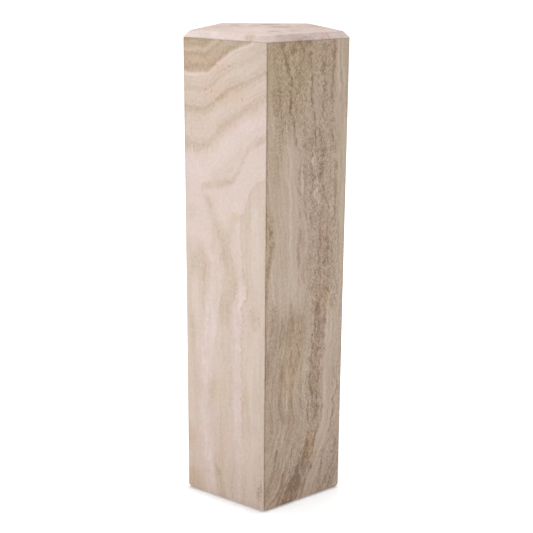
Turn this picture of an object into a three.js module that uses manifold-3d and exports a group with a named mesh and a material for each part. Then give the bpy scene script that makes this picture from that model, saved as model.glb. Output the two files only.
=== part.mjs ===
// Pentagonal travertine column: five upright slabs, mitred into a hollow shaft that is open
// underneath, with a bevelled cap slab on top. Millimetres, +Z up. The origin is on the floor,
// under the middle of the column's bounding box, and one corner points straight towards -Y.

import * as THREE from "three";
import { mergeVertices } from "three/addons/utils/BufferGeometryUtils.js";
import Module from "manifold-3d";

const wasm = await Module();
wasm.setup();

// Driving dimensions
const WIDTH_ACROSS = 298; // widest, from the right corner to the left corner
const HEIGHT = 900; // floor to the top of the cap
const CAP_THICKNESS = 12;
const CAP_BEVEL_INSET = 12; // how far the cap's bevel runs in from the faces
const CAP_LAND = 1; // narrow upright edge left under the cap's bevel
const WALL = 20; // thickness of an upright slab
const FOOT_BEVEL = 5; // taken off the shaft's lower edge, at 45 degrees
const ARRIS = 1; // width taken off each face at an upright outer corner
const MITRE_JOINT = 0.3; // glue line between two upright slabs
const CAP_JOINT = 0.3; // glue line between the cap and the upright slabs

// The faces, counted from the one just right of the front corner, with each stone's colour
const FACES = [
  { name: "front_right_slab", color: 0xb09a83 },
  { name: "right_slab", color: 0xbfaa95 },
  { name: "back_slab", color: 0xcbb8a5 },
  { name: "left_slab", color: 0xd2bfae },
  { name: "front_left_slab", color: 0xd8c5b6 },
];
const CAP_COLOR = 0xdecbc1;
const HONED_ROUGHNESS = 0.55;

// The regular polygon, with a corner at the front
const SIDES = FACES.length;
const TURN = (2 * Math.PI) / SIDES;
const HALF_TURN = TURN / 2;
const FRONT_CORNER = -Math.PI / 2;
const WIDEST_CORNER = FRONT_CORNER + TURN * Math.round(SIDES / 4);
const CORNER_RADIUS = WIDTH_ACROSS / (2 * Math.cos(WIDEST_CORNER));
const FACE_DISTANCE = CORNER_RADIUS * Math.cos(HALF_TURN);
const AXIS_BACK = (CORNER_RADIUS - FACE_DISTANCE) / 2; // puts the bounding box over the origin
const SHAFT_TOP = HEIGHT - CAP_THICKNESS - CAP_JOINT;

// How much further a corner moves than the faces beside it
const cornerShift = (faceShift) => faceShift / Math.cos(HALF_TURN);

// A solid of the column's own plan, from a profile of corner radii and heights
function pentagonalSolid(profile) {
  const points = profile.map(([radius, height]) => new THREE.Vector2(radius, height));
  const geometry = new THREE.LatheGeometry(points, SIDES);
  geometry.rotateX(Math.PI / 2);
  return geometry;
}

function toSolid(geometry) {
  const bare = geometry.clone();
  bare.deleteAttribute("normal");
  bare.deleteAttribute("uv");
  const merged = mergeVertices(bare);
  return new wasm.Manifold(
    new wasm.Mesh({
      numProp: 3,
      vertProperties: new Float32Array(merged.attributes.position.array),
      triVerts: new Uint32Array(merged.index.array),
    }),
  );
}

function toGeometry(solid) {
  const mesh = solid.getMesh();
  const geometry = new THREE.BufferGeometry();
  geometry.setAttribute("position", new THREE.BufferAttribute(mesh.vertProperties, 3));
  geometry.setIndex(new THREE.BufferAttribute(mesh.triVerts, 1));
  const faceted = geometry.toNonIndexed();
  faceted.computeVertexNormals();
  return faceted;
}

// A point given by its distance along the mitre line and its distance back from that line,
// on the upper (side = 1) or lower (side = -1) mitre of a slab that faces +X
function onMitre(along, back, side) {
  const x = along * Math.cos(HALF_TURN) + back * Math.sin(HALF_TURN);
  const y = along * Math.sin(HALF_TURN) - back * Math.cos(HALF_TURN);
  return new THREE.Vector2(x, side * y);
}

// Plan of one upright slab that faces +X: mitred ends, and a small flat at each outer corner
function slabPlan() {
  const halfJoint = MITRE_JOINT / 2;
  const innerDistance = FACE_DISTANCE - WALL;
  const innerAlong = (innerDistance - halfJoint * Math.sin(HALF_TURN)) / Math.cos(HALF_TURN);
  const flatAlong = CORNER_RADIUS - ARRIS * Math.sin(HALF_TURN);
  const flatHalfWidth = ARRIS * Math.cos(HALF_TURN);
  const upperEnd = [
    onMitre(flatAlong, flatHalfWidth, 1),
    onMitre(flatAlong, halfJoint, 1),
    onMitre(innerAlong, halfJoint, 1),
  ];
  const lowerEnd = [
    onMitre(innerAlong, halfJoint, -1),
    onMitre(flatAlong, halfJoint, -1),
    onMitre(flatAlong, flatHalfWidth, -1),
  ];
  return new THREE.Shape([...upperEnd, ...lowerEnd]);
}

// The shaft's outside with its eased lower edge, turned so that one face looks towards +X
function shaftOutside() {
  const outside = pentagonalSolid([
    [0, 0],
    [CORNER_RADIUS - cornerShift(FOOT_BEVEL), 0],
    [CORNER_RADIUS, FOOT_BEVEL],
    [CORNER_RADIUS, SHAFT_TOP],
    [0, SHAFT_TOP],
  ]);
  outside.rotateZ(-(FRONT_CORNER + HALF_TURN));
  return outside;
}

function uprightSlab() {
  const blank = new THREE.ExtrudeGeometry(slabPlan(), { depth: SHAFT_TOP, bevelEnabled: false });
  return toGeometry(toSolid(blank).intersect(toSolid(shaftOutside())));
}

// The cap: a narrow upright edge, then a bevel up to the flat top
function capSlab() {
  const cap = pentagonalSolid([
    [0, 0],
    [CORNER_RADIUS, 0],
    [CORNER_RADIUS, CAP_LAND],
    [CORNER_RADIUS - cornerShift(CAP_BEVEL_INSET), CAP_THICKNESS],
    [0, CAP_THICKNESS],
  ]);
  return toGeometry(toSolid(cap));
}

function stone(color) {
  return new THREE.MeshStandardMaterial({ color, roughness: HONED_ROUGHNESS, metalness: 0 });
}

const column = new THREE.Group();
column.position.y = AXIS_BACK;

const slabGeometry = uprightSlab();
FACES.forEach(({ name, color }, index) => {
  const slab = new THREE.Mesh(slabGeometry, stone(color));
  slab.name = name;
  slab.rotation.z = FRONT_CORNER + HALF_TURN + index * TURN;
  column.add(slab);
});

const cap = new THREE.Mesh(capSlab(), stone(CAP_COLOR));
cap.name = "cap_slab";
cap.position.z = HEIGHT - CAP_THICKNESS;
column.add(cap);

export default column;
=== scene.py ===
"""The looks of a pentagonal travertine column: mitred slabs, bevelled cap, floor, light, camera."""

import math
import random

import bmesh
import bpy
from mathutils import Matrix, Vector


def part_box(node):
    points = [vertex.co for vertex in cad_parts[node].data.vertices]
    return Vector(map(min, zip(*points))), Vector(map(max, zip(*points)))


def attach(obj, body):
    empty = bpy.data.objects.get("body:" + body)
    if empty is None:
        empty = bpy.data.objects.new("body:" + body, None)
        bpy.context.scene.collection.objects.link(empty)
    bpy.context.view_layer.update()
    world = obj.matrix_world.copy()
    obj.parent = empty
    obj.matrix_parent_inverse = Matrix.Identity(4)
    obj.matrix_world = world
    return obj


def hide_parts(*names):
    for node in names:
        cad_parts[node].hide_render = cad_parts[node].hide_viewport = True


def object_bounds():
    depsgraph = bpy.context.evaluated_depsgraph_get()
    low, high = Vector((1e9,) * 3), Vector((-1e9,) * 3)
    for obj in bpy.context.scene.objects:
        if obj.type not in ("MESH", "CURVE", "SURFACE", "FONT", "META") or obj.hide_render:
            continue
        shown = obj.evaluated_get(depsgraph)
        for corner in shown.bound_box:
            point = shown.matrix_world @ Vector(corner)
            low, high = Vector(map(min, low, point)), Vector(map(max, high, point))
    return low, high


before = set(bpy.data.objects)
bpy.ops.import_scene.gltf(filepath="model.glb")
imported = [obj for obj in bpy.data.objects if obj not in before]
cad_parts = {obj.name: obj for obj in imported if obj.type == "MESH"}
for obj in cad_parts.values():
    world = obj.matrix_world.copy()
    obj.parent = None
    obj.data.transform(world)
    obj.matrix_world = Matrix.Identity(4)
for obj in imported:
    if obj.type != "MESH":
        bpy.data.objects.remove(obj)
cad_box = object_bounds()

MM = 0.001

# Sizes that the frame gives
LOW = Vector(cad_box[0])
HIGH = Vector(cad_box[1])
BACK_LOW = Vector(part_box("back_slab")[0])
BACK_HIGH = Vector(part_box("back_slab")[1])
CAP_LOW = Vector(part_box("cap_slab")[0])
HEIGHT = HIGH.z
SHAFT_TOP = BACK_HIGH.z
WALL = BACK_HIGH.y - BACK_LOW.y
CAP_THICKNESS = HEIGHT - CAP_LOW.z

# The regular pentagon, with a corner at the front
SIDES = 5
TURN = 2 * math.pi / SIDES
HALF_TURN = TURN / 2
FRONT_CORNER = -math.pi / 2
CORNER_RADIUS = (HIGH.x - LOW.x) / (2 * math.cos(FRONT_CORNER + TURN))
FACE_DISTANCE = CORNER_RADIUS * math.cos(HALF_TURN)
AXIS = Vector((0, BACK_HIGH.y - FACE_DISTANCE, 0))
FACE_WIDTH = 2 * FACE_DISTANCE * math.tan(HALF_TURN)

# Small sizes of the stonework
MITRE_JOINT = 0.3 * MM
ARRIS = 1.0 * MM
CAP_LAND = 1.0 * MM
CAP_BEVEL_INSET = 10.2 * MM
FOOT_ROUND = 8.5 * MM
DRESSED_EDGE = 0.6 * MM
CAP_TOP_ROUND = 2.0 * MM
CAP_CORNER_ROUND = 1.4 * MM
CAP_CORNER_SOFTNESS = 24.0 * MM
CAP_DRESSED_EDGE = 0.4 * MM
CAP_LAND_TURN = 0.7 * MM

# Cuts at the worn lower corners: how far down each looks in radians, and its depth in millimetres
FOOT_CORNER_CUTS = ((0.5, 4.6), (1.1, 4.4))
FRONT_FOOT_CUTS = ((1.28, 4.2),)

# Edges that turn by more than these angles are dressed, or shade as sharp ones
DRESSED_ANGLE = 0.4
CAP_DRESSED_ANGLE = 0.9
SHARP_DEGREES = 25
CAP_SHARP_DEGREES = 62

# Open pores, in millimetres on their face
PORE_RADIUS = (0.5, 1.3)
PORE_STRETCH = (1.1, 2.2)
PORE_DEPTH_SHARE = 0.8
PORE_SPACING = 5.0
PORE_MARGIN = 8.0
PORE_SEED = 7

# How the stone's figure is drawn, in millimetres
ARRIS_LINE = 2
ARRIS_SOFTNESS = 1
VEIN_FADE = 10
EDGE_ROOM = 25
BED_RAGGEDNESS = 9
FOLD_RAGGEDNESS = 3
UNEVENNESS = 45

# Surface of the stone
SLAB_ROUGHNESS = 0.5
CAP_ROUGHNESS = 0.6
RELIEF_STRENGTH = 0.25
RELIEF_DEPTH = 0.2 * MM

# Camera of the photograph, fitted to the column's outline, in metres and degrees
PHOTO_SIDE = 533
FOCAL_PIXELS = 1159.0
SENSOR = 36.0
CAMERA_BACK = 2.153
CAMERA_HEIGHT = 1.0786
CAMERA_RIGHT = 0.0036
CAMERA_DOWN = 16.362
CAMERA_ROLL = 0.423
CAMERA_SWING = -0.808

# Studio floor and light, in metres and watts
FLOOR_SIZE = 60
FLOOR_COLOUR = (0.85, 0.85, 0.85, 1)
FLOOR_ROUGHNESS = 0.9
GLOW_COLOUR = (0.95, 0.98, 1.0, 1)
GLOW_REACH = (0.3, 1.2)
FLOOR_GLOW_NEAR = 0.5
# Painted contact shadow round the foot: share of the glow left at the foot, width, narrowing on the
# right sides, and start there
PAINTED_SHADOW_GLOW = 0.4
PAINTED_SHADOW_WIDTH = 38 * MM
PAINTED_SHADOW_NARROWING = 2.0
PAINTED_SHADOW_START = 9 * MM
AIR_LIGHT = 0.25
OVERHEAD_PLACE = (-0.2, 0.3, 3.2)
OVERHEAD_SIZE = 2.4
OVERHEAD_WATTS = 80
KEY_PLACE = (-2.2, -1.5, 0.9)
KEY_SIZE = 1.2
KEY_WATTS = 21

# The slabs, counted from the one just right of the front corner, and where each one faces
SLABS = ("front_right_slab", "right_slab", "back_slab", "left_slab", "front_left_slab")
HIDDEN_SLABS = SLABS[1:4]
SIDE_STONE_SHIFT = 3.7
FACES = {
    name: FRONT_CORNER + HALF_TURN + number * TURN for number, name in enumerate(SLABS)
}


# Modelling helpers
def deselect():
    bpy.ops.object.select_all(action="DESELECT")


def activate(piece):
    """Makes the piece the only selected object, and the active one."""
    deselect()
    piece.select_set(True)
    bpy.context.view_layer.objects.active = piece


def apply_place():
    bpy.ops.object.transform_apply(location=True, rotation=True, scale=True)


def begin_edit(piece):
    activate(piece)
    bpy.ops.object.mode_set(mode="EDIT")
    bpy.ops.mesh.select_mode(type="VERT")


def end_edit():
    bpy.ops.object.mode_set(mode="OBJECT")


def pick(piece, what, test):
    """Selects only the vertices, edges or faces of the piece in edit mode that pass the test."""
    bpy.ops.mesh.select_all(action="DESELECT")
    mode = {"verts": "VERT", "edges": "EDGE", "faces": "FACE"}[what]
    bpy.ops.mesh.select_mode(type=mode)
    mesh = bmesh.from_edit_mesh(piece.data)
    for item in getattr(mesh, what):
        if test(item):
            item.select_set(True)
    bmesh.update_edit_mesh(piece.data)


def middle(item):
    """Middle of an edge or face."""
    corners = [vert.co for vert in item.verts]
    return sum(corners, Vector()) / len(corners)


def cut(place, way, take_off=False):
    """Cuts the piece in edit mode along a plane, and may take off what lies beyond it."""
    bpy.ops.mesh.select_all(action="SELECT")
    bpy.ops.mesh.bisect(plane_co=place, plane_no=way, use_fill=take_off, clear_outer=take_off)


def apply_modifier(piece, kind, **settings):
    activate(piece)
    bpy.ops.object.modifier_add(type=kind)
    modifier = piece.modifiers[-1]
    for name, value in settings.items():
        setattr(modifier, name, value)
    bpy.ops.object.modifier_apply(modifier=modifier.name)


def settle(piece, location, turn):
    """Turns and moves the piece to its place, and puts that place into its mesh."""
    activate(piece)
    piece.location = location
    piece.rotation_euler = (0, 0, turn)
    apply_place()


def shade(piece, sharp_degrees):
    activate(piece)
    bpy.ops.object.shade_smooth_by_angle(angle=math.radians(sharp_degrees))


# Open pores: middle and spread of each cluster in millimetres on its face, and how many
PORES = {
    "front_left_slab": (
        ((174, 42), (3, 12), 14), ((60, 842), (30, 4), 10), ((90, 792), (30, 5), 10),
        ((30, 690), (16, 5), 8), ((30, 474), (16, 14), 6), ((158, 380), (8, 14), 6),
    ),
    "front_right_slab": (
        ((26, 790), (10, 30), 14), ((60, 820), (8, 36), 16), ((98, 800), (6, 50), 10),
        ((150, 680), (4, 60), 16), ((125, 600), (14, 60), 22), ((132, 430), (8, 30), 14),
        ((118, 260), (8, 50), 14), ((90, 60), (14, 30), 14), ((10, 540), (3, 40), 8),
        ((15, 398), (3, 10), 6), ((60, 350), (10, 30), 8),
    ),
    "right_slab": (((60, 600), (10, 160), 24), ((130, 300), (12, 140), 20)),
    "back_slab": (((50, 300), (10, 140), 20), ((120, 620), (12, 150), 20)),
    "left_slab": (((70, 420), (12, 200), 22), ((140, 650), (10, 120), 14)),
    "cap_slab": (((120, 110), (40, 40), 14), ((200, 180), (30, 30), 10)),
}


def pore_spots(clusters, face_size):
    """Seeded places, sizes and lengths of pores, none too near another or the face's edge."""
    chance = random.Random(PORE_SEED)
    spots = []
    for (across, up), (spread_across, spread_up), count in clusters:
        for _ in range(count):
            spot = (
                across + chance.gauss(0, spread_across),
                up + chance.gauss(0, spread_up),
                chance.uniform(*PORE_RADIUS),
                chance.uniform(*PORE_STRETCH),
            )
            inside = all(
                PORE_MARGIN < place < size - PORE_MARGIN for place, size in zip(spot, face_size)
            )
            clear = all(math.dist(spot[:2], other[:2]) > PORE_SPACING for other in spots)
            if inside and clear:
                spots.append(spot)
    return spots


def add_pore(place, proportions, radius):
    bpy.ops.mesh.primitive_ico_sphere_add(
        subdivisions=2, radius=radius * MM, location=place, scale=proportions
    )


def drill(piece, pores):
    """Cuts small oval hollows into the piece, with one cutter that holds them all."""
    deselect()
    add_pore(*pores[0])
    cutter = bpy.context.object
    apply_place()
    bpy.ops.object.mode_set(mode="EDIT")
    for pore in pores[1:]:
        add_pore(*pore)
    end_edit()
    apply_modifier(piece, "BOOLEAN", operation="DIFFERENCE", object=cutter, solver="EXACT")
    bpy.data.objects.remove(cutter)


# The slabs, modelled facing +X and then turned to their faces
def corner_way(side):
    """The level way from the axis to a slab's left (-1) or right (1) corner, as seen from outside."""
    return Vector((math.cos(HALF_TURN), side * math.sin(HALF_TURN), 0))


def upright_slab(name, facing):
    gap = MITRE_JOINT / 2 / math.cos(HALF_TURN)
    outer_half = FACE_DISTANCE * math.tan(HALF_TURN) - gap
    inner_half = (FACE_DISTANCE - WALL) * math.tan(HALF_TURN) - gap
    middle_x = FACE_DISTANCE - WALL / 2
    deselect()
    bpy.ops.mesh.primitive_cube_add(size=1, location=(middle_x, 0, SHAFT_TOP / 2))
    slab = bpy.context.object
    slab.name = name + "_stone"
    slab.scale = (WALL, 2 * outer_half, SHAFT_TOP)
    apply_place()
    begin_edit(slab)
    # the mitres: the inner face is narrower than the outer one
    pick(slab, "verts", lambda vert: vert.co.x < middle_x)
    bpy.ops.transform.resize(value=(1, inner_half / outer_half, 1), center_override=(0, 0, 0))
    # the flat on each outer corner
    flat_distance = CORNER_RADIUS - ARRIS * math.sin(HALF_TURN)
    for side in (-1, 1):
        cut(corner_way(side) * flat_distance, corner_way(side), take_off=True)
    # the eased lower edge
    pick(
        slab,
        "edges",
        lambda edge: middle(edge).z < MM and all(vert.co.x > middle_x for vert in edge.verts),
    )
    bpy.ops.mesh.bevel(offset=FOOT_ROUND, segments=6, profile=0.5, clamp_overlap=False)
    # the lower corners are worn rounder than the edges, the front one least
    for side in (-1, 1):
        at_front = math.isclose(math.cos(facing + side * HALF_TURN - FRONT_CORNER), 1)
        for slope, depth in FRONT_FOOT_CUTS if at_front else FOOT_CORNER_CUTS:
            way = corner_way(side) * math.cos(slope) - Vector((0, 0, math.sin(slope)))
            cut(corner_way(side) * CORNER_RADIUS - way * depth * MM, way, take_off=True)
    end_edit()
    apply_modifier(
        slab, "BEVEL", width=DRESSED_EDGE, segments=2, limit_method="ANGLE",
        angle_limit=DRESSED_ANGLE,
    )
    # what the dressing pushed down is pressed flat onto the floor
    begin_edit(slab)
    pick(slab, "verts", lambda vert: vert.co.z < 0)
    bpy.ops.transform.resize(value=(1, 1, 0), center_override=(0, 0, 0))
    end_edit()
    pores = []
    for across, up, radius, longer in pore_spots(PORES[name], (FACE_WIDTH / MM, SHAFT_TOP / MM)):
        place = Vector((FACE_DISTANCE, across * MM - FACE_WIDTH / 2, up * MM))
        pores.append((place, (PORE_DEPTH_SHARE, 1, longer), radius))
    drill(slab, pores)
    settle(slab, AXIS, facing)
    shade(slab, SHARP_DEGREES)
    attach(slab, "root")
    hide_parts(name)
    return slab


def cap_slab():
    # the land, turned so that one corner points to the front
    deselect()
    bpy.ops.mesh.primitive_cylinder_add(
        vertices=SIDES,
        radius=CORNER_RADIUS,
        depth=CAP_LAND,
        location=(0, 0, CAP_LOW.z + CAP_LAND / 2),
        rotation=(0, 0, math.pi),
    )
    cap = bpy.context.object
    cap.name = "cap_slab_stone"
    apply_place()
    begin_edit(cap)
    # the bevel above it
    pick(cap, "faces", lambda face: face.normal.z > 0.9)
    bpy.ops.mesh.extrude_region_move(
        TRANSFORM_OT_translate={"value": (0, 0, CAP_THICKNESS - CAP_LAND)}
    )
    top_share = 1 - CAP_BEVEL_INSET / FACE_DISTANCE
    bpy.ops.transform.resize(value=(top_share, top_share, 1), center_override=(0, 0, 0))
    # the corners are a little rounded in plan, but for the front one
    pick(
        cap,
        "edges",
        lambda edge: abs(edge.verts[0].co.z - edge.verts[1].co.z) > CAP_LAND / 2
        and middle(edge).y > -CORNER_RADIUS / 2,
    )
    bpy.ops.mesh.bevel(offset=CAP_CORNER_ROUND, segments=4, profile=0.5)
    # loops beside the front corner, between which it shades softly
    for side in (-1, 1):
        cut((side * CAP_CORNER_SOFTNESS, 0, 0), (1, 0, 0))
    # and one above the land, so that only the bevel's lowest strip shades into it
    cut((0, 0, CAP_LOW.z + CAP_LAND + CAP_LAND_TURN), (0, 0, 1))
    # and the bevel turns softly into the top
    pick(cap, "edges", lambda edge: all(vert.co.z > HEIGHT - MM for vert in edge.verts))
    bpy.ops.mesh.bevel(offset=CAP_TOP_ROUND, segments=6, profile=0.5, clamp_overlap=False)
    end_edit()
    apply_modifier(
        cap, "BEVEL", width=CAP_DRESSED_EDGE, segments=2, limit_method="ANGLE",
        angle_limit=CAP_DRESSED_ANGLE,
    )
    top_width = 2 * CORNER_RADIUS / MM
    pores = []
    for right, back, radius, longer in pore_spots(PORES["cap_slab"], (top_width, top_width)):
        place = Vector((right * MM - CORNER_RADIUS, back * MM - CORNER_RADIUS, HEIGHT))
        pores.append((place, (longer, 1, PORE_DEPTH_SHARE), radius))
    drill(cap, pores)
    settle(cap, AXIS, 0)
    shade(cap, CAP_SHARP_DEGREES)
    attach(cap, "root")
    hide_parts("cap_slab")
    return cap


# Materials
class Stone:
    """A travertine material, with short names for the nodes that its figure is drawn with."""

    def __init__(self, name):
        self.material = bpy.data.materials.new(name)
        self.material.use_nodes = True
        self.tree = self.material.node_tree
        self.shader = self.tree.nodes["Principled BSDF"]

    def node(self, kind, inputs, **settings):
        node = self.tree.nodes.new(kind)
        for key, value in settings.items():
            setattr(node, key, value)
        for key, value in inputs.items():
            self.feed(node.inputs[key], value)
        return node

    def feed(self, socket, value):
        if isinstance(value, bpy.types.NodeSocket):
            self.tree.links.new(value, socket)
        else:
            socket.default_value = value

    def math(self, operation, first, second=0.0, third=0.0):
        inputs = {0: first, 1: second, 2: third}
        return self.node("ShaderNodeMath", inputs, operation=operation).outputs[0]

    def add(self, first, second):
        return self.math("ADD", first, second)

    def less(self, first, second):
        return self.math("SUBTRACT", first, second)

    def times(self, first, second):
        return self.math("MULTIPLY", first, second)

    def shift(self, value, mark, change):
        """The value, with the change added where the mark is 1 and less where it is fainter."""
        return self.math("MULTIPLY_ADD", mark, change, value)

    def share(self, value, span):
        """How far a value is along a span, from 0 to 1."""
        low, high = span
        return self.math("DIVIDE", self.less(value, low), high - low)

    def smooth(self, value, low, high, out_low=0.0, out_high=1.0):
        inputs = {
            "Value": value,
            "From Min": low,
            "From Max": high,
            "To Min": out_low,
            "To Max": out_high,
        }
        node = self.node("ShaderNodeMapRange", inputs, interpolation_type="SMOOTHSTEP")
        return node.outputs["Result"]

    def noise(self, vector, scale, detail=2.0, roughness=0.5):
        """Noise between about -1 and 1, at a number of grains to the millimetre."""
        inputs = {"Vector": vector, "Scale": scale, "Detail": detail, "Roughness": roughness}
        fac = self.node("ShaderNodeTexNoise", inputs).outputs[0]
        return self.math("MULTIPLY_ADD", fac, 4.0, -2.0)

    def grain(self, vector, fineness, detail=4.0, roughness=0.65):
        """Noise with its own number of grains to the millimetre across, in depth and up."""
        mapping = self.node("ShaderNodeMapping", {"Vector": vector, "Scale": fineness})
        return self.noise(mapping.outputs[0], 1, detail, roughness)

    def place(self, across, depth, height):
        inputs = {"X": across, "Y": depth, "Z": height}
        return self.node("ShaderNodeCombineXYZ", inputs).outputs[0]

    def layers(self, across, depth, height, fineness, detail=4.0, roughness=0.65):
        """Noise drawn out into layers, with its own fineness across and up the face."""
        place = self.place(self.times(across, fineness[0]), depth, self.times(height, fineness[1]))
        return self.noise(place, 1, detail, roughness)

    def curve(self, value, span, points):
        """A smooth curve through given points (value, result), over a span of values."""
        low, high = span
        results = [result for _, result in points]
        floor = min(results)
        rise = max(max(results) - floor, 1e-6)
        node = self.node("ShaderNodeFloatCurve", {"Value": self.share(value, span)})
        line = node.mapping.curves[0]
        while len(line.points) < len(points):
            line.points.new(0.5, 0.5)
        for point, (at, result) in zip(line.points, points):
            point.location = ((at - low) / (high - low), (result - floor) / rise)
        node.mapping.update()
        return self.math("MULTIPLY_ADD", node.outputs[0], rise, floor)

    def ramp(self, share, stops, interpolation="LINEAR"):
        """A colour for each share, from given stops (share, colour)."""
        node = self.node("ShaderNodeValToRGB", {"Fac": share})
        ramp = node.color_ramp
        ramp.interpolation = interpolation
        while len(ramp.elements) < len(stops):
            ramp.elements.new(0.5)
        for element, (at, colour) in zip(ramp.elements, stops):
            element.position = at
            element.color = (*colour, 1)
        return node.outputs[0]

    def bands(self, value, span, stops):
        """A lightness for each place across the veins, from given stops (place, lightness)."""
        low, high = span
        greys = [((at - low) / (high - low), (light, light, light)) for at, light in stops]
        return self.ramp(self.share(value, span), greys, "B_SPLINE")

    def blend(self, share, first, second):
        inputs = {"Factor": share, "A": first, "B": second}
        return self.node("ShaderNodeMix", inputs, data_type="FLOAT").outputs[0]

    def tint(self, share, colour, tint):
        """The colour, multiplied by the tint to the share given."""
        inputs = {0: share, 6: colour, 7: tint}
        mix = self.node("ShaderNodeMix", inputs, data_type="RGBA", blend_type="MULTIPLY")
        return mix.outputs[2]

    def face_place(self, facing):
        """Millimetres on a face: across from its left edge, outward from the axis, and up."""
        turn = Matrix.Rotation(-facing, 3, "Z")
        shift = -(turn @ AXIS)
        inputs = {
            "Vector": self.node("ShaderNodeTexCoord", {}).outputs["Object"],
            "Location": (shift.x / MM, (shift.y + FACE_WIDTH / 2) / MM, 0),
            "Rotation": (0, 0, -facing),
            "Scale": (1 / MM, 1 / MM, 1 / MM),
        }
        turned = self.node("ShaderNodeMapping", inputs).outputs[0]
        parts = self.node("ShaderNodeSeparateXYZ", {0: turned}).outputs
        return parts[1], parts[0], parts[2]

    def path_band(self, value, path, half_width, softness):
        """1 on a band that follows a path, falling to 0 over its soft edge."""
        away = self.math("ABSOLUTE", self.less(value, path))
        return self.smooth(away, half_width, half_width + softness, 1.0, 0.0)

    def patch(self, across, height, middle_place, half_size):
        """1 inside a soft oval patch on the face, 0 outside it."""
        aside = self.math("DIVIDE", self.less(across, middle_place[0]), half_size[0])
        above = self.math("DIVIDE", self.less(height, middle_place[1]), half_size[1])
        squares = self.add(self.times(aside, aside), self.times(above, above))
        return self.smooth(self.math("POWER", squares, 0.5), 0.5, 1.2, 1.0, 0.0)

    def finish(self, colour, grain, roughness):
        """A honed surface: a soft sheen, with a very slight relief."""
        self.feed(self.shader.inputs["Base Color"], colour)
        self.feed(self.shader.inputs["Roughness"], roughness)
        inputs = {"Strength": RELIEF_STRENGTH, "Distance": RELIEF_DEPTH, "Height": grain}
        bump = self.node("ShaderNodeBump", inputs)
        self.feed(self.shader.inputs["Normal"], bump.outputs[0])
        return self.material


CAP_COLOURS = (
    (0.0, (0.31, 0.21, 0.17)),
    (0.4, (0.46, 0.345, 0.297)),
    (0.7, (0.572, 0.46, 0.415)),
    (1.0, (0.672, 0.57, 0.532)),
)
PALE_COLOURS = (
    (0.0, (0.305, 0.215, 0.14)),
    (0.3, (0.445, 0.335, 0.25)),
    (0.55, (0.535, 0.422, 0.347)),
    (0.8, (0.60, 0.482, 0.427)),
    (1.0, (0.67, 0.562, 0.516)),
)
BROWN_COLOURS = (
    (0.0, (0.25, 0.152, 0.088)),
    (0.3, (0.40, 0.275, 0.187)),
    (0.55, (0.525, 0.395, 0.297)),
    (0.8, (0.615, 0.485, 0.383)),
    (1.0, (0.70, 0.58, 0.482)),
)

# Spans of the faces, and tints laid over the stone's own colours
HEIGHT_SPAN = (-20, 920)
FACE_SPAN = (-20, 210)
KHAKI = (0.97, 0.97, 0.86, 1)
OLIVE = (0.95, 0.96, 0.80, 1)
RUST = (1.0, 0.88, 0.78, 1)
OCHRE = (1.0, 0.955, 0.84, 1)
ROSE = (1.0, 0.94, 0.92, 1)
MAUVE = (0.97, 0.93, 0.95, 1)
LAVENDER = (0.985, 0.975, 1.0, 1)
SAGE = (0.96, 1.0, 0.96, 1)

# Lightness, where 0 is a stone's darkest colour and 1 its palest, and changes of it
SIDE_LIGHTNESS = 0.56
CAP_LIGHTNESS = 0.77
ARRIS_CHANGE = -0.22
PALE_LAYERING = 0.12
PALE_MOTTLING = 0.16
BLOTCH_CHANGE = 0.1
WEB_CHANGE = -0.16
FEATHER_CHANGE = 0.16
# painted contact shade along the foot of the brown face
FOOT_PAINTED_SHADE_CHANGE = -0.26

# Figure of the pale face. All places are millimetres from the face's lower left corner.
# How far the level beds climb, for each place across
BED_CLIMB = (
    (-20, 0), (20, 0), (50, 3), (65, 11), (80, 23), (100, 35), (125, 48), (150, 62),
    (184, 78), (210, 88),
)
# Below the first of these heights the beds climb steeper by this factor, above the second not
STEEP_BEDS = (722, 764)
STEEPENING = 1.28
# Lightness of the beds, by their height at the left edge
BED_SPAN = (590, 900)
BEDS = (
    (590, 0.75), (655, 0.78), (678, 0.73), (688, 0.58), (697, 0.36), (703, 0.46), (711, 0.6),
    (728, 0.63), (742, 0.6), (752, 0.52), (760, 0.38), (764, 0.24), (768, 0.5), (786, 0.6),
    (796, 0.55), (800, 0.36), (805, 0.54), (821, 0.56), (826, 0.95), (829, 0.32), (835, 0.12),
    (842, 0.3), (852, 0.38), (858, 0.16), (862, 0.38), (868, 0.42), (873, 0.1), (878, 0.3),
    (884, 0.06), (890, 0.2),
)
# How ragged the beds are, by the same height
RAGGED_BEDS = (
    (590, 0.15), (670, 0.5), (685, 1.0), (705, 0.35), (735, 0.3), (750, 1.0), (764, 0.5),
    (775, 0.4), (793, 0.7), (808, 0.3), (822, 0.05), (832, 0.1), (840, 1.0), (855, 0.4), (890, 0.3),
)
# Where the level beds end, and the upright ones below begin
BED_FOOT = (
    (-20, 515), (0, 514), (20, 517), (38, 510), (50, 500), (63, 548), (76, 556), (100, 552),
    (108, 568), (125, 578), (140, 598), (150, 623), (165, 638), (184, 650), (210, 660),
)
# Folds drawn as height against place across: path, half width, soft edge, change of lightness
PALE_FOLDS = (
    (((38, 606), (42, 622), (65, 628), (90, 635), (110, 643)), 3.5, 8, -0.28),
    (((104, 640), (122, 658), (135, 683), (146, 703), (165, 717), (184, 728)), 4, 8, -0.28),
    (((58, 636), (85, 652), (110, 672), (132, 697)), 8, 12, -0.13),
    (((104, 567), (125, 575), (140, 597), (150, 621), (165, 636), (184, 648)), 3, 7, -0.3),
    (((0, 655), (40, 662), (80, 690), (120, 728), (184, 768)), 6, 18, 0.06),
)
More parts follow.
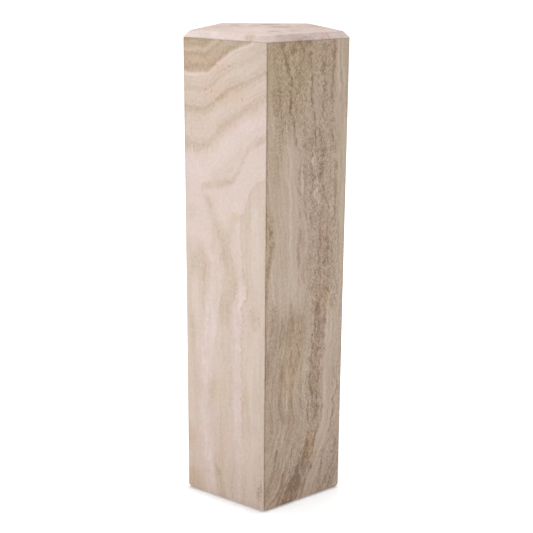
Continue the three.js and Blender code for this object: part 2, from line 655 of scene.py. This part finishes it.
# Upright veins drawn as place across against height: path, half width, soft edge, change
PALE_UPRIGHTS = (
    (((360, 90), (400, 96), (430, 103), (478, 102), (512, 95), (545, 77), (578, 63), (606, 53)),
     8, 11, -0.13),
    (((545, 77), (578, 62), (604, 52)), 2.5, 6, -0.14),
    (((380, 112), (430, 115), (470, 113), (500, 108)), 0.8, 4, -0.1),
    (((455, 134), (507, 134), (540, 133), (572, 134)), 1, 4, -0.12),
    (((0, 58), (50, 54), (100, 51), (150, 46), (200, 43), (250, 45), (300, 50)), 8, 9, 0.17),
    (((300, 50), (350, 58), (390, 63), (420, 68), (460, 77), (487, 69), (498, 62)), 10, 9, 0.16),
    (((0, 58), (60, 53), (120, 50), (180, 45)), 6, 6, 0.06),
    (((0, 118), (50, 119), (100, 122), (150, 117), (200, 117), (250, 120), (300, 117), (350, 117),
      (400, 120), (420, 126), (450, 133)), 7, 5, 0.17),
    (((470, 118), (540, 122), (600, 128)), 5, 10, 0.1),
    (((190, 131), (260, 130), (300, 129), (395, 130), (420, 137), (440, 140), (460, 142)),
     0.6, 3, -0.2),
    (((0, 84), (15, 88), (40, 83), (68, 71)), 1.5, 5, -0.2),
    (((0, 77), (25, 81), (50, 70)), 1, 4, -0.16),
    (((0, 150), (120, 152), (240, 148), (330, 152)), 1, 6, 0.07),
    (((0, 28), (130, 24), (260, 27), (400, 22), (450, 26)), 1.5, 6, 0.07),
    (((440, 166), (520, 160), (600, 168)), 2, 6, 0.1),
)
# Patches: middle, half size, change of lightness
PALE_PATCHES = (
    ((30, 640), (34, 16), 0.05), ((60, 630), (16, 22), 0.05), ((16, 350), (16, 50), -0.1),
    ((90, 400), (12, 30), -0.04), ((84, 528), (14, 30), 0.08), ((34, 474), (28, 36), -0.09),
    ((14, 568), (10, 18), -0.1), ((125, 580), (16, 9), -0.1), ((157, 385), (14, 26), -0.14),
    ((150, 166), (17, 26), -0.08), ((14, 24), (26, 36), -0.14), ((8, 120), (14, 28), -0.1),
    ((72, 226), (17, 30), -0.04), ((141, 226), (10, 30), -0.06), ((174, 42), (8, 22), -0.16),
)
# Tints: colour, and for each patch its middle, half size and share
PALE_TINTS = (
    (KHAKI, ((30, 880), (95, 30), 0.55), ((72, 226), (20, 34), 0.7), ((92, 390), (14, 28), 0.3)),
    (RUST, ((40, 842), (80, 18), 0.45), ((14, 24), (30, 42), 0.4), ((8, 120), (16, 30), 0.28),
     ((78, 785), (60, 26), 0.2), ((103, 460), (12, 24), 0.3), ((104, 800), (70, 26), 0.3),
     ((100, 736), (28, 14), 0.3), ((150, 770), (32, 14), 0.3), ((125, 578), (22, 14), 0.14)),
    (ROSE, ((44, 852), (60, 9), 0.7), ((92, 60), (120, 120), 0.4)),
    (OLIVE, ((141, 226), (12, 32), 0.4), ((116, 579), (16, 9), 0.4)),
    (LAVENDER, ((20, 615), (60, 90), 0.8), ((135, 735), (60, 40), 0.8),
     ((120, 640), (50, 60), 0.7), ((66, 400), (18, 90), 0.9), ((118, 380), (10, 70), 0.7),
     ((47, 170), (20, 240), 0.9), ((118, 170), (14, 260), 0.9)),
    (SAGE, ((82, 535), (22, 34), 0.4)),
)
# Where the stone is crackled, and how much
PALE_CRACKLE = (
    ((173, 40), (9, 28), 1.0),
    ((156, 395), (9, 22), 0.35),
    ((28, 480), (22, 20), 0.35),
)

# Figure of the brown face, drawn the same way, as place across against height.
# How far the upright veins sweep to the left, by height
VEIN_SWEEP = (
    (-20, -88), (0, -76), (50, -52), (100, -30), (140, -14), (180, -6), (235, -12), (285, -6),
    (350, 4), (450, 6), (560, 2), (700, -10), (780, -20), (920, -26),
)
SWEEP_SPAN = (-40, 290)
# Heights over which the middle and the top veins take over, and up to which the foot has painted
# shade
MIDDLE_VEINS_START = (370, 430)
TOP_VEINS_START = (670, 760)
FOOT_PAINTED_SHADE_HEIGHT = 9
# Lightness across the veins: near the top, in the middle and below
TOP_VEINS = (
    (-40, 0.51), (20, 0.53), (40, 0.51), (50, 0.4), (62, 0.47), (80, 0.37), (95, 0.4), (112, 0.44),
    (124, 0.51), (135, 0.48), (150, 0.41), (165, 0.44), (176, 0.51), (184, 0.6), (196, 0.58),
    (215, 0.57),
)
MIDDLE_VEINS = (
    (-40, 0.58), (0, 0.51), (10, 0.49), (20, 0.58), (45, 0.61), (72, 0.59), (84, 0.57), (94, 0.51),
    (104, 0.43), (120, 0.39), (135, 0.38), (150, 0.41), (160, 0.46), (168, 0.58), (190, 0.61),
    (215, 0.58),
)
LOW_VEINS = (
    (-40, 0.44), (0, 0.41), (20, 0.42), (38, 0.45), (48, 0.44), (62, 0.40), (72, 0.43), (84, 0.45),
    (98, 0.48), (108, 0.46), (116, 0.42), (126, 0.42), (136, 0.46), (143, 0.52), (150, 0.57),
    (164, 0.57), (184, 0.50), (205, 0.44), (240, 0.42),
)
# Rough veins: path, half width, soft edge, change of lightness
ROUGH_VEINS = (
    (((700, 68), (725, 64), (750, 62), (767, 53), (784, 56), (819, 56), (834, 50), (869, 39),
      (888, 34)), 0.8, 4, -0.3),
    (((440, 78), (513, 76), (563, 76), (607, 79), (628, 74), (648, 77), (688, 75), (700, 70)),
     0.9, 4, -0.2),
    (((440, 92), (520, 87), (600, 90), (660, 86), (700, 84)), 1, 4, -0.14),
    (((700, 109), (740, 110), (765, 103), (800, 99), (817, 99), (840, 95), (888, 94)), 0.9, 3, -0.28),
    (((560, 161), (600, 161), (660, 161), (672, 156), (705, 154), (714, 148), (760, 149),
      (819, 147), (850, 150), (888, 149)), 1, 3, -0.24),
    (((558, 150), (588, 143), (623, 130), (663, 124), (688, 127), (723, 121), (763, 126),
      (813, 130)), 0.7, 3, -0.18),
    (((560, 106), (600, 103), (640, 108), (670, 100), (720, 104)), 0.7, 3, -0.18),
    (((420, 4), (453, 5), (508, 8), (535, 11), (560, 5), (590, 0), (605, -3)), 1, 5, -0.22),
    (((420, 124), (450, 128), (480, 122), (520, 126), (560, 122)), 0.7, 3, -0.2),
    (((420, 140), (470, 136), (520, 142), (560, 140)), 0.8, 3, -0.18),
    (((147, 119), (153, 110), (176, 102), (197, 101), (213, 102)), 0.5, 2.4, -0.34),
    (((213, 108), (222, 109), (238, 107), (259, 105), (274, 113), (288, 108), (296, 107), (307, 116),
      (330, 112), (350, 118), (400, 121)), 0.7, 2.6, -0.32),
    (((157, 128), (163, 124), (180, 127), (205, 124), (232, 127), (261, 127), (284, 129),
      (303, 138), (326, 135), (350, 139), (400, 140)), 1.5, 4, -0.2),
    (((160, 118), (200, 117), (240, 118), (280, 121), (330, 126), (400, 131)), 6, 6, -0.08),
    (((60, 112), (97, 116), (109, 119), (130, 124), (151, 133), (176, 139), (186, 138), (215, 133)),
     0.8, 3, -0.3),
    (((0, 54), (9, 63), (38, 80), (59, 88), (84, 100), (95, 107)), 12, 9, -0.24),
    (((85, 101), (95, 106), (120, 110), (150, 112)), 9, 9, -0.16),
    (((0, 42), (17, 48), (42, 64), (63, 71), (90, 83), (110, 90)), 0.8, 3, -0.26),
    (((0, 84), (30, 97), (51, 104), (67, 112)), 1, 4, -0.2),
    (((0, 62), (38, 76), (84, 94), (130, 104)), 0.8, 3, -0.2),
    (((0, 130), (40, 138), (86, 143), (105, 151), (122, 160), (151, 160), (176, 170), (197, 167),
      (224, 174), (242, 166), (267, 170)), 0.6, 3, -0.26),
    (((0, 152), (50, 166), (90, 172), (130, 178)), 0.6, 3, -0.18),
    (((0, 0), (9, 12), (26, 27), (38, 39), (60, 44), (100, 52)), 0.7, 3, -0.28),
    (((0, 24), (20, 38), (50, 52), (90, 64), (130, 70)), 0.6, 3, -0.22),
    (((180, 37), (230, 34), (290, 38), (340, 36), (390, 44)), 1, 4, -0.16),
    (((200, 62), (260, 66), (320, 60), (390, 66)), 0.7, 3, -0.16),
    (((180, 82), (250, 86), (320, 80), (390, 88)), 0.7, 3, -0.16),
)
CLEAN_VEINS = (
    (((400, 65), (438, 60), (488, 57), (538, 55), (561, 54), (596, 53), (628, 52), (659, 56),
      (680, 55), (700, 50), (721, 47), (746, 41)), 0.8, 2.4, 0.17),
    (((410, 20), (438, 17), (508, 16)), 1.2, 3.5, 0.24),
    (((788, 165), (830, 161), (888, 160)), 0.5, 1.8, 0.2),
    (((770, 168), (800, 165), (850, 166), (888, 165)), 0.5, 1.6, -0.2),
    (((795, 170), (840, 170), (888, 169)), 0.5, 1.8, 0.18),
    (((450, 172), (560, 169), (660, 173), (720, 170)), 0.5, 2.4, -0.14),
    (((0, 0), (15, 6), (30, 22), (51, 36), (72, 41), (100, 46)), 0.6, 2.4, 0.22),
    (((0, 34), (40, 50), (80, 60), (120, 66)), 0.6, 3, 0.16),
    (((197, 52), (212, 52), (238, 52)), 1.4, 3, 0.24),
    (((251, 53), (282, 52)), 1.4, 3, 0.2),
    (((136, 44), (172, 44)), 2, 3, 0.16),
    (((500, 93), (560, 88), (600, 80), (640, 84), (700, 80)), 0.8, 4, 0.14),
    (((0, 104), (50, 124), (100, 136), (160, 146), (260, 142), (420, 152)), 1.5, 6, 0.1),
    (((0, 76), (40, 92), (70, 104)), 0.5, 2.4, 0.14),
)
# Middle and half size of the feathered patch
FEATHERED_PATCH = ((24, 693), (16, 56))
BROWN_PATCHES = (
    ((105, 702), (4, 15), 0.2), ((106, 672), (7, 11), 0.26), ((117, 592), (11, 11), 0.26),
    ((150, 575), (6, 14), 0.14), ((56, 836), (5, 14), 0.2), ((73, 881), (26, 8), -0.2),
    ((128, 827), (8, 7), -0.22), ((128, 695), (9, 13), -0.06), ((135, 640), (10, 26), 0.08),
    ((124, 405), (11, 26), -0.1), ((145, 420), (5, 7), -0.26), ((178, 650), (14, 110), 0.1),
    ((176, 110), (14, 44), -0.08), ((48, 4), (24, 9), -0.2), ((27, 108), (5, 15), -0.36),
    ((3, 285), (10, 46), -0.12), ((10, 180), (14, 60), -0.05), ((60, 40), (40, 40), -0.09),
    ((55, 350), (16, 42), -0.05), ((84, 320), (8, 40), -0.04), ((18, 790), (12, 26), -0.1),
    ((24, 693), (14, 46), -0.08), ((160, 30), (26, 34), -0.06),
)
BROWN_TINTS = (
    (KHAKI, ((50, 840), (75, 90), 0.8), ((24, 693), (20, 60), 0.6), ((8, 530), (14, 80), 0.8)),
    (RUST, ((30, 625), (16, 34), 0.22), ((134, 424), (14, 18), 0.3),
     ((108, 110), (12, 26), 0.2), ((60, 14), (26, 18), 0.5), ((140, 520), (20, 56), 0.15)),
    (LAVENDER, ((120, 640), (42, 190), 0.7), ((104, 790), (14, 80), 0.9),
     ((82, 600), (18, 130), 0.6), ((160, 220), (32, 200), 0.6), ((140, 40), (50, 50), 0.8)),
    (OCHRE, ((66, 310), (34, 90), 0.5), ((50, 240), (24, 70), 0.4), ((145, 400), (8, 24), 0.8),
     ((120, 400), (8, 24), 0.6), ((108, 115), (18, 44), 0.8)),
    (OLIVE, ((117, 240), (9, 26), 0.9)),
    (MAUVE, ((124, 330), (16, 120), 0.7), ((80, 45), (26, 30), 0.6), ((27, 108), (8, 20), 0.8)),
    (SAGE, ((178, 700), (18, 260), 0.6)),
    (ROSE, ((90, 60), (60, 90), 0.4), ((24, 36), (40, 50), 0.4)),
)


def draw_veins(stone, lightness, aside, along, span, veins, strength):
    """Draws veins that follow listed paths, fading at their ends and where they are weak."""
    for path, half_width, soft_edge, change in veins:
        start, end = path[0][0], path[-1][0]
        mark = stone.path_band(aside, stone.curve(along, span, path), half_width, soft_edge)
        if start > span[0] + EDGE_ROOM:
            mark = stone.times(mark, stone.smooth(along, start - VEIN_FADE, start + VEIN_FADE))
        if end < span[1] - EDGE_ROOM:
            mark = stone.times(mark, stone.smooth(along, end - VEIN_FADE, end + VEIN_FADE, 1.0, 0.0))
        lightness = stone.shift(lightness, stone.times(mark, strength), change)
    return lightness


def draw_patches(stone, lightness, across, height, patches, strength=1.0):
    for middle_place, half_size, change in patches:
        mark = stone.times(stone.patch(across, height, middle_place, half_size), strength)
        lightness = stone.shift(lightness, mark, change)
    return lightness


def lay_tints(stone, colour, across, height, tints):
    for tint, *patches in tints:
        for middle_place, half_size, share in patches:
            mark = stone.patch(across, height, middle_place, half_size)
            colour = stone.tint(stone.times(mark, share), colour, tint)
    return colour


def vary_hue(stone, colour, place):
    """Turns the colour a little towards rose in some places and towards sage in others."""
    hue = stone.noise(place, 0.06, 4, 0.65)
    colour = stone.tint(stone.smooth(hue, 0.0, 0.7, 0.0, 0.5), colour, ROSE)
    return stone.tint(stone.smooth(hue, -0.7, 0.0, 1.0, 0.0), colour, SAGE)


def darken_arrises(stone, lightness, across):
    """The resin in the mitres shows as a thin darker line along both upright edges."""
    half_width = FACE_WIDTH / MM / 2
    from_middle = stone.math("ABSOLUTE", stone.less(across, half_width))
    line = half_width - ARRIS_LINE
    mark = stone.smooth(from_middle, line - ARRIS_SOFTNESS, line + ARRIS_SOFTNESS)
    return stone.shift(lightness, mark, ARRIS_CHANGE)


def pale_front_stone():
    """Left of the front corner: level beds that climb to the right, over upright ones."""
    stone = Stone("pale_travertine")
    across, depth, height = stone.face_place(FACES["front_left_slab"])
    place = stone.place(across, depth, height)
    sway = stone.times(stone.noise(place, 0.012, 2), 5)
    ripple = stone.times(stone.noise(place, 0.07, 3, 0.6), 2)
    wander = stone.add(sway, ripple)
    wavy_across = stone.add(across, wander)
    wavy_height = stone.add(height, wander)
    comb = stone.layers(across, depth, height, (0.28, 0.04), 3, 0.6)

    # the level beds, ragged where their edges hang down in small upright dashes
    climb = stone.curve(across, FACE_SPAN, BED_CLIMB)
    steepness = stone.smooth(stone.less(height, climb), *STEEP_BEDS, STEEPENING, 1.0)
    level = stone.less(wavy_height, stone.times(climb, steepness))
    raggedness = stone.bands(level, BED_SPAN, RAGGED_BEDS)
    ragged_level = stone.shift(level, stone.times(comb, raggedness), BED_RAGGEDNESS)
    bed_layers = stone.layers(across, depth, ragged_level, (0.02, 0.3), 4, 0.6)
    layering = stone.smooth(level, 640, 710, 0.05, 0.16)
    beds = stone.bands(ragged_level, BED_SPAN, BEDS)
    beds = stone.shift(beds, bed_layers, layering)
    ragged_height = stone.shift(wavy_height, comb, FOLD_RAGGEDNESS)
    strength = stone.smooth(stone.noise(place, 0.05, 3, 0.65), -0.7, 0.5, 0.45, 1.15)
    beds = draw_veins(stone, beds, ragged_height, across, FACE_SPAN, PALE_FOLDS, strength)

    # the upright layers, fine ones over broad ones
    broad_layers = stone.layers(wavy_across, depth, height, (0.05, 0.006), 2, 0.5)
    fine_layers = stone.layers(wavy_across, depth, height, (0.22, 0.012))
    layers = stone.smooth(height, 200, 330, 0.56, 0.61)
    layers = stone.shift(layers, broad_layers, PALE_LAYERING)
    layers = stone.shift(layers, fine_layers, PALE_LAYERING)

    # both, with the veins and patches over them
    above_foot = stone.less(ragged_height, stone.curve(across, FACE_SPAN, BED_FOOT))
    lightness = stone.blend(stone.smooth(above_foot, -14, 14), layers, beds)
    rough_across = stone.shift(wavy_across, stone.noise(place, 0.12, 3, 0.6), 4)
    lightness = draw_veins(
        stone, lightness, rough_across, height, HEIGHT_SPAN, PALE_UPRIGHTS, strength
    )
    lightness = draw_patches(stone, lightness, wavy_across, wavy_height, PALE_PATCHES)
    crackle = stone.math("ABSOLUTE", stone.grain(place, (0.25, 0.25, 0.2), 4, 0.7))
    crackle = stone.shift(0.2, stone.smooth(crackle, 0.0, 0.34, 1.0, 0.0), -0.6)
    lightness = draw_patches(stone, lightness, across, height, PALE_CRACKLE, crackle)

    # dashes in some places, and a mottle all over
    dashes = stone.smooth(comb, 0.1, 0.9)
    dashes = stone.times(dashes, stone.smooth(stone.noise(place, 0.02, 2), -0.4, 0.5))
    lightness = stone.shift(lightness, dashes, -PALE_MOTTLING)
    mottle = stone.noise(place, 0.15, 5, 0.75)
    lightness = stone.shift(lightness, mottle, PALE_MOTTLING)
    lightness = darken_arrises(stone, lightness, across)
    colour = stone.ramp(lightness, PALE_COLOURS)
    colour = lay_tints(stone, colour, wavy_across, wavy_height, PALE_TINTS)
    colour = vary_hue(stone, colour, place)
    return stone.finish(colour, mottle, SLAB_ROUGHNESS)


def broad_veins(stone, swept, uneven):
    """The brown face's broad veins: the low ones, then the middle and the top ones above."""
    middle_share = stone.smooth(uneven, *MIDDLE_VEINS_START)
    top_share = stone.smooth(uneven, *TOP_VEINS_START)
    lightness = stone.bands(swept, SWEEP_SPAN, LOW_VEINS)
    lightness = stone.blend(middle_share, lightness, stone.bands(swept, SWEEP_SPAN, MIDDLE_VEINS))
    lightness = stone.blend(top_share, lightness, stone.bands(swept, SWEEP_SPAN, TOP_VEINS))
    return lightness, middle_share


def brown_front_stone():
    """Right of the front corner: greige and brown, with upright veins that sweep left at the foot."""
    stone = Stone("brown_travertine")
    across, depth, height = stone.face_place(FACES["front_right_slab"])
    place = stone.place(across, depth, height)
    sway = stone.times(stone.grain(place, (0.025, 0.025, 0.015), 3, 0.6), 5)
    wavy_across = stone.add(across, sway)
    swept = stone.less(wavy_across, stone.curve(height, HEIGHT_SPAN, VEIN_SWEEP))
    vein_place = stone.place(swept, depth, height)
    crinkle = stone.grain(vein_place, (0.11, 0.11, 0.075))
    rough_across = stone.shift(wavy_across, crinkle, 5)
    uneven = stone.shift(height, stone.grain(place, (0.04, 0.04, 0.005), 2, 0.5), UNEVENNESS)

    # broad veins, how rough the stone is in them, and fine layers that crinkle where it is rough
    lightness, middle_share = broad_veins(stone, swept, uneven)
    roughness = stone.smooth(lightness, 0.4, 0.6, 1.0, 0.15)
    calm = stone.math("MAXIMUM", middle_share, stone.smooth(swept, 88, 108))
    roughness = stone.times(roughness, stone.shift(0.4, calm, 0.6))
    crinkled = stone.shift(swept, stone.times(crinkle, roughness), 6)
    layers = stone.layers(crinkled, depth, height, (0.24, 0.01))
    layering = stone.smooth(height, 300, 440, 0.26, 0.17)
    lightness = stone.shift(lightness, layers, layering)

    # blotches, and the thin dark web between them
    blotches = stone.grain(vein_place, (0.18, 0.18, 0.1))
    blotches = stone.smooth(blotches, -0.5, 0.5, -1.0, 1.0)
    web = stone.math("ABSOLUTE", stone.grain(vein_place, (0.12, 0.12, 0.045), 4, 0.62))
    web = stone.smooth(web, 0.0, 0.12, 1.0, 0.0)
    rough_marks = stone.shift(stone.times(blotches, BLOTCH_CHANGE), web, WEB_CHANGE)
    unrest = stone.grain(vein_place, (0.04, 0.04, 0.02), 3, 0.6)
    unrest = stone.smooth(unrest, -0.5, 0.4, 0.5, 1.2)
    lightness = stone.shift(lightness, rough_marks, stone.times(roughness, unrest))

    # short level feathers near the left edge
    feathers = stone.grain(place, (0.08, 0.08, 0.32), 3, 0.6)
    feathers = stone.times(feathers, stone.patch(rough_across, height, *FEATHERED_PATCH))
    lightness = stone.shift(lightness, feathers, FEATHER_CHANGE)

    # listed veins and patches
    strength = stone.grain(place, (0.1, 0.1, 0.05), 3, 0.65)
    strength = stone.smooth(strength, -0.6, 0.4, 0.1, 1.3)
    lightness = draw_veins(
        stone, lightness, rough_across, height, HEIGHT_SPAN, ROUGH_VEINS, strength
    )
    lightness = draw_veins(stone, lightness, wavy_across, height, HEIGHT_SPAN, CLEAN_VEINS, 1.0)
    lightness = draw_patches(stone, lightness, rough_across, uneven, BROWN_PATCHES)

    # mottle and speckle, strongest where the stone is rough
    mottle = stone.grain(place, (0.34, 0.34, 0.24), 4, 0.8)
    mottling = stone.shift(0.16, roughness, 0.06)
    lightness = stone.shift(lightness, mottle, mottling)
    speckle = stone.grain(place, (0.55, 0.55, 0.24), 2, 0.5)
    speckling = stone.shift(0.07, roughness, 0.19)
    lightness = stone.shift(lightness, speckle, speckling)
    # painted contact shade along the foot, darkest right at the floor
    lightness = stone.add(lightness, stone.smooth(height, 0, FOOT_PAINTED_SHADE_HEIGHT, FOOT_PAINTED_SHADE_CHANGE, 0.0))
    lightness = darken_arrises(stone, lightness, across)
    colour = stone.ramp(lightness, BROWN_COLOURS)
    colour = lay_tints(stone, colour, rough_across, height, BROWN_TINTS)
    colour = vary_hue(stone, colour, place)
    return stone.finish(colour, mottle, SLAB_ROUGHNESS)


def side_stone(name, facing, seed):
    """The quieter stone of a side that stands away from the photograph."""
    stone = Stone("side_travertine_" + name)
    across, depth, height = stone.face_place(facing)
    place = stone.place(across, depth, stone.add(height, seed))
    sway = stone.times(stone.grain(place, (0.01, 0.01, 0.004), 2, 0.5), 18)
    crinkle = stone.grain(place, (0.1, 0.1, 0.06))
    upright = stone.shift(stone.add(across, sway), crinkle, 2)
    broad_layers = stone.layers(upright, depth, height, (0.03, 0.0015), 3, 0.5)
    fine_layers = stone.layers(upright, depth, height, (0.24, 0.008))
    mottle = stone.noise(place, 0.2, 5, 0.7)
    lightness = stone.shift(SIDE_LIGHTNESS, broad_layers, 0.24)
    lightness = stone.shift(lightness, fine_layers, 0.13)
    lightness = stone.shift(lightness, mottle, 0.09)
    lightness = darken_arrises(stone, lightness, across)
    colour = stone.ramp(lightness, PALE_COLOURS)
    colour = vary_hue(stone, colour, place)
    return stone.finish(colour, mottle, SLAB_ROUGHNESS)


# Patches of the cap, in millimetres from the middle of its top
CAP_PATCHES = (
    ((-59, 62), (13, 22), -0.3), ((-22, 52), (12, 22), -0.28), ((7, 84), (19, 16), -0.4),
    ((20, 32), (14, 20), -0.34), ((40, 42), (10, 18), -0.22), ((38, 17), (9, 16), -0.2),
    ((15, -65), (12, 16), -0.34), ((44, -55), (17, 15), -0.28), ((-90, 20), (14, 20), -0.2),
    ((-20, -10), (20, 18), 0.12), ((66, -20), (18, 24), -0.14), ((-31, -116), (3, 26), -0.22),
    ((-24, -128), (2.5, 12), -0.18), ((51, -112), (13, 20), -0.04), ((70, -100), (4, 16), -0.2),
    ((81, -92), (5, 16), -0.12), ((99, -82), (3, 10), -0.2), ((109, -71), (3, 10), -0.2),
)
CAP_TINTS = (
    (MAUVE, ((51, -112), (14, 24), 1.0), ((82, -90), (12, 20), 0.8),
     ((104, -78), (12, 20), 0.7), ((-60, -90), (30, 40), 0.5)),
    (ROSE, ((51, -112), (10, 18), 0.8), ((104, -78), (16, 24), 1.0)),
    (RUST, ((-106, -50), (6, 14), 0.6)),
    (SAGE, ((-84, -35), (16, 34), 1.0)),
    (OLIVE, ((-28, -120), (10, 24), 0.5)),
    (KHAKI, ((70, 10), (40, 60), 0.3)),
)
# Heights between which the bevel gives way to the top
BEVEL_HEIGHTS = (896, 899.8)
# How far the cap's layers come forward for each millimetre to the right
LAYER_SLANT = 0.22
# Change of lightness along the bevel, by place to the right: partly the stone's own tone and partly
# painted light and shade, darkest near the front corner
BEVEL_SPAN = (-160, 160)
BEVEL_TONE_AND_PAINTED_SHADE = (
    (-160, 0.14), (-130, 0.16), (-110, -0.06), (-88, 0.04), (-68, 0.06), (-48, 0.04), (-28, -0.18),
    (-10, -0.2), (2, -0.14), (14, -0.06), (32, -0.06), (60, -0.02), (83, 0.08), (120, 0.18),
    (160, 0.22),
)


def cap_stone():
    """The cap: pale pink, with thin grey-brown streaks and darker to the right."""
    stone = Stone("cap_travertine")
    object_place = stone.node("ShaderNodeTexCoord", {}).outputs["Object"]
    inputs = {"Vector": object_place, "Location": -AXIS / MM, "Scale": (1 / MM, 1 / MM, 1 / MM)}
    place = stone.node("ShaderNodeMapping", inputs).outputs[0]
    right, back, up = stone.node("ShaderNodeSeparateXYZ", {0: place}).outputs
    sway = stone.times(stone.noise(place, 0.02, 3, 0.6), 7)
    wavy_right = stone.add(right, sway)
    wavy_back = stone.add(back, sway)

    # darker to the right and to the back, and along the bevel as its curve of the stone's own tone
    # and painted light and shade says
    lightness = stone.shift(CAP_LIGHTNESS, stone.noise(place, 0.018, 2), 0.1)
    lightness = stone.shift(lightness, stone.smooth(right, -40, 130), -0.1)
    lightness = stone.shift(lightness, stone.smooth(back, -90, 60), -0.08)
    bevel = stone.smooth(up, *BEVEL_HEIGHTS, 1.0, 0.0)
    bevel_tone_and_painted_shade = stone.curve(right, BEVEL_SPAN, BEVEL_TONE_AND_PAINTED_SHADE)
    lightness = stone.shift(lightness, bevel, bevel_tone_and_painted_shade)

    # slanting layers, flecks and clouds
    slanting = stone.shift(wavy_back, wavy_right, LAYER_SLANT)
    layer_place = stone.place(stone.times(right, 0.012), stone.times(slanting, 0.16), up)
    lightness = stone.shift(lightness, stone.noise(layer_place, 1, 4, 0.65), 0.12)
    flecks = stone.smooth(stone.grain(place, (0.06, 0.08, 0.08)), 0.2, 0.7)
    lightness = stone.shift(lightness, flecks, -0.24)
    lightness = stone.shift(lightness, stone.noise(place, 0.05, 3, 0.6), 0.09)

    # listed patches, broken up on the top and whole on the bevel
    crinkle = stone.times(stone.noise(place, 0.09, 3, 0.65), 6)
    rough_right = stone.add(wavy_right, crinkle)
    rough_back = stone.add(wavy_back, crinkle)
    broken = stone.smooth(stone.grain(place, (0.05, 0.16, 0.1)), -0.4, 0.5, 1.55, 0.15)
    strength = stone.blend(bevel, broken, 1.0)
    lightness = draw_patches(stone, lightness, rough_right, rough_back, CAP_PATCHES, strength)
    mottle = stone.noise(place, 0.2, 5, 0.7)
    lightness = stone.shift(lightness, mottle, 0.08)
    colour = stone.ramp(lightness, CAP_COLOURS)
    colour = lay_tints(stone, colour, wavy_right, wavy_back, CAP_TINTS)
    colour = vary_hue(stone, colour, place)
    return stone.finish(colour, mottle, CAP_ROUGHNESS)


# Floor, light and camera
def studio_floor():
    """A white floor that glows, fading to plain white light away from the column, with a painted
    contact shadow round the foot.
    """
    deselect()
    bpy.ops.mesh.primitive_plane_add(size=FLOOR_SIZE, location=(0, 0, 0))
    floor = bpy.context.object
    floor.name = "studio_floor"
    paint = Stone("studio_white")
    place = paint.node("ShaderNodeTexCoord", {}).outputs["Object"]
    inputs = {0: place, 1: AXIS}
    from_axis = paint.node("ShaderNodeVectorMath", inputs, operation="SUBTRACT").outputs[0]
    reach = paint.node("ShaderNodeVectorMath", {0: from_axis}, operation="LENGTH")
    glow = paint.smooth(reach.outputs["Value"], *GLOW_REACH, FLOOR_GLOW_NEAR, 1.0)
    # painted contact shadow: the glow dims round the foot, narrower on the right
    clear = None
    for facing in FACES.values():
        inputs = {0: from_axis, 1: (math.cos(facing), math.sin(facing), 0)}
        outward = paint.node("ShaderNodeVectorMath", inputs, operation="DOT_PRODUCT")
        distance = paint.less(outward.outputs["Value"], FACE_DISTANCE - FOOT_ROUND)
        if math.cos(facing) > 0:
            distance = paint.math("MULTIPLY_ADD", distance, PAINTED_SHADOW_NARROWING, PAINTED_SHADOW_START)
        clear = distance if clear is None else paint.math("MAXIMUM", clear, distance)
    glow = paint.times(glow, paint.smooth(clear, 0, PAINTED_SHADOW_WIDTH, PAINTED_SHADOW_GLOW, 1.0))
    paint.feed(paint.shader.inputs["Base Color"], FLOOR_COLOUR)
    paint.feed(paint.shader.inputs["Roughness"], FLOOR_ROUGHNESS)
    paint.feed(paint.shader.inputs["Emission Color"], GLOW_COLOUR)
    paint.feed(paint.shader.inputs["Emission Strength"], glow)
    floor.data.materials.append(paint.material)


def studio_air():
    """White to the eye, and a dimmer even light on the column."""
    world = bpy.data.worlds.new("studio_air")
    world.use_nodes = True
    tree = world.node_tree
    seen = tree.nodes.new("ShaderNodeLightPath").outputs["Is Camera Ray"]
    strength = tree.nodes.new("ShaderNodeMapRange")
    strength.inputs["To Min"].default_value = AIR_LIGHT
    strength.inputs["To Max"].default_value = 1.0
    tree.links.new(seen, strength.inputs["Value"])
    background = tree.nodes["Background"]
    background.inputs["Color"].default_value = (1, 1, 1, 1)
    tree.links.new(strength.outputs["Result"], background.inputs["Strength"])
    bpy.context.scene.world = world


def soft_box(name, location, size, power):
    """A square studio light that looks at the middle of the column."""
    deselect()
    bpy.ops.object.light_add(type="AREA", location=location)
    light = bpy.context.object
    light.name = name
    light.data.shape = "SQUARE"
    light.data.size = size
    light.data.energy = power
    look = Vector((0, 0, HEIGHT / 2)) - Vector(location)
    light.rotation_euler = look.to_track_quat("-Z", "Y").to_euler()


def studio():
    studio_floor()
    studio_air()
    soft_box("overhead_light", OVERHEAD_PLACE, OVERHEAD_SIZE, OVERHEAD_WATTS)
    soft_box("key_light", KEY_PLACE, KEY_SIZE, KEY_WATTS)
    bpy.context.scene.view_settings.view_transform = "Standard"


def photo_camera():
    deselect()
    bpy.ops.object.camera_add()
    camera = bpy.context.object
    camera.name = "photo_camera"
    camera.data.sensor_width = SENSOR
    camera.data.lens = FOCAL_PIXELS * SENSOR / PHOTO_SIDE
    swing = Matrix.Rotation(math.radians(CAMERA_SWING), 4, "Z")
    stand = Matrix.Translation((CAMERA_RIGHT, -CAMERA_BACK, CAMERA_HEIGHT))
    tip = Matrix.Rotation(math.radians(90 - CAMERA_DOWN), 4, "X")
    roll = Matrix.Rotation(math.radians(CAMERA_ROLL), 4, "Z")
    camera.matrix_world = Matrix.Translation(AXIS) @ swing @ stand @ tip @ roll
    bpy.context.scene.camera = camera


slabs = {name: upright_slab(name, facing) for name, facing in FACES.items()}
cap = cap_slab()

slabs["front_left_slab"].data.materials.append(pale_front_stone())
slabs["front_right_slab"].data.materials.append(brown_front_stone())
for number, name in enumerate(HIDDEN_SLABS, 1):
    slabs[name].data.materials.append(side_stone(name, FACES[name], number * SIDE_STONE_SHIFT))
cap.data.materials.append(cap_stone())

studio()
photo_camera()
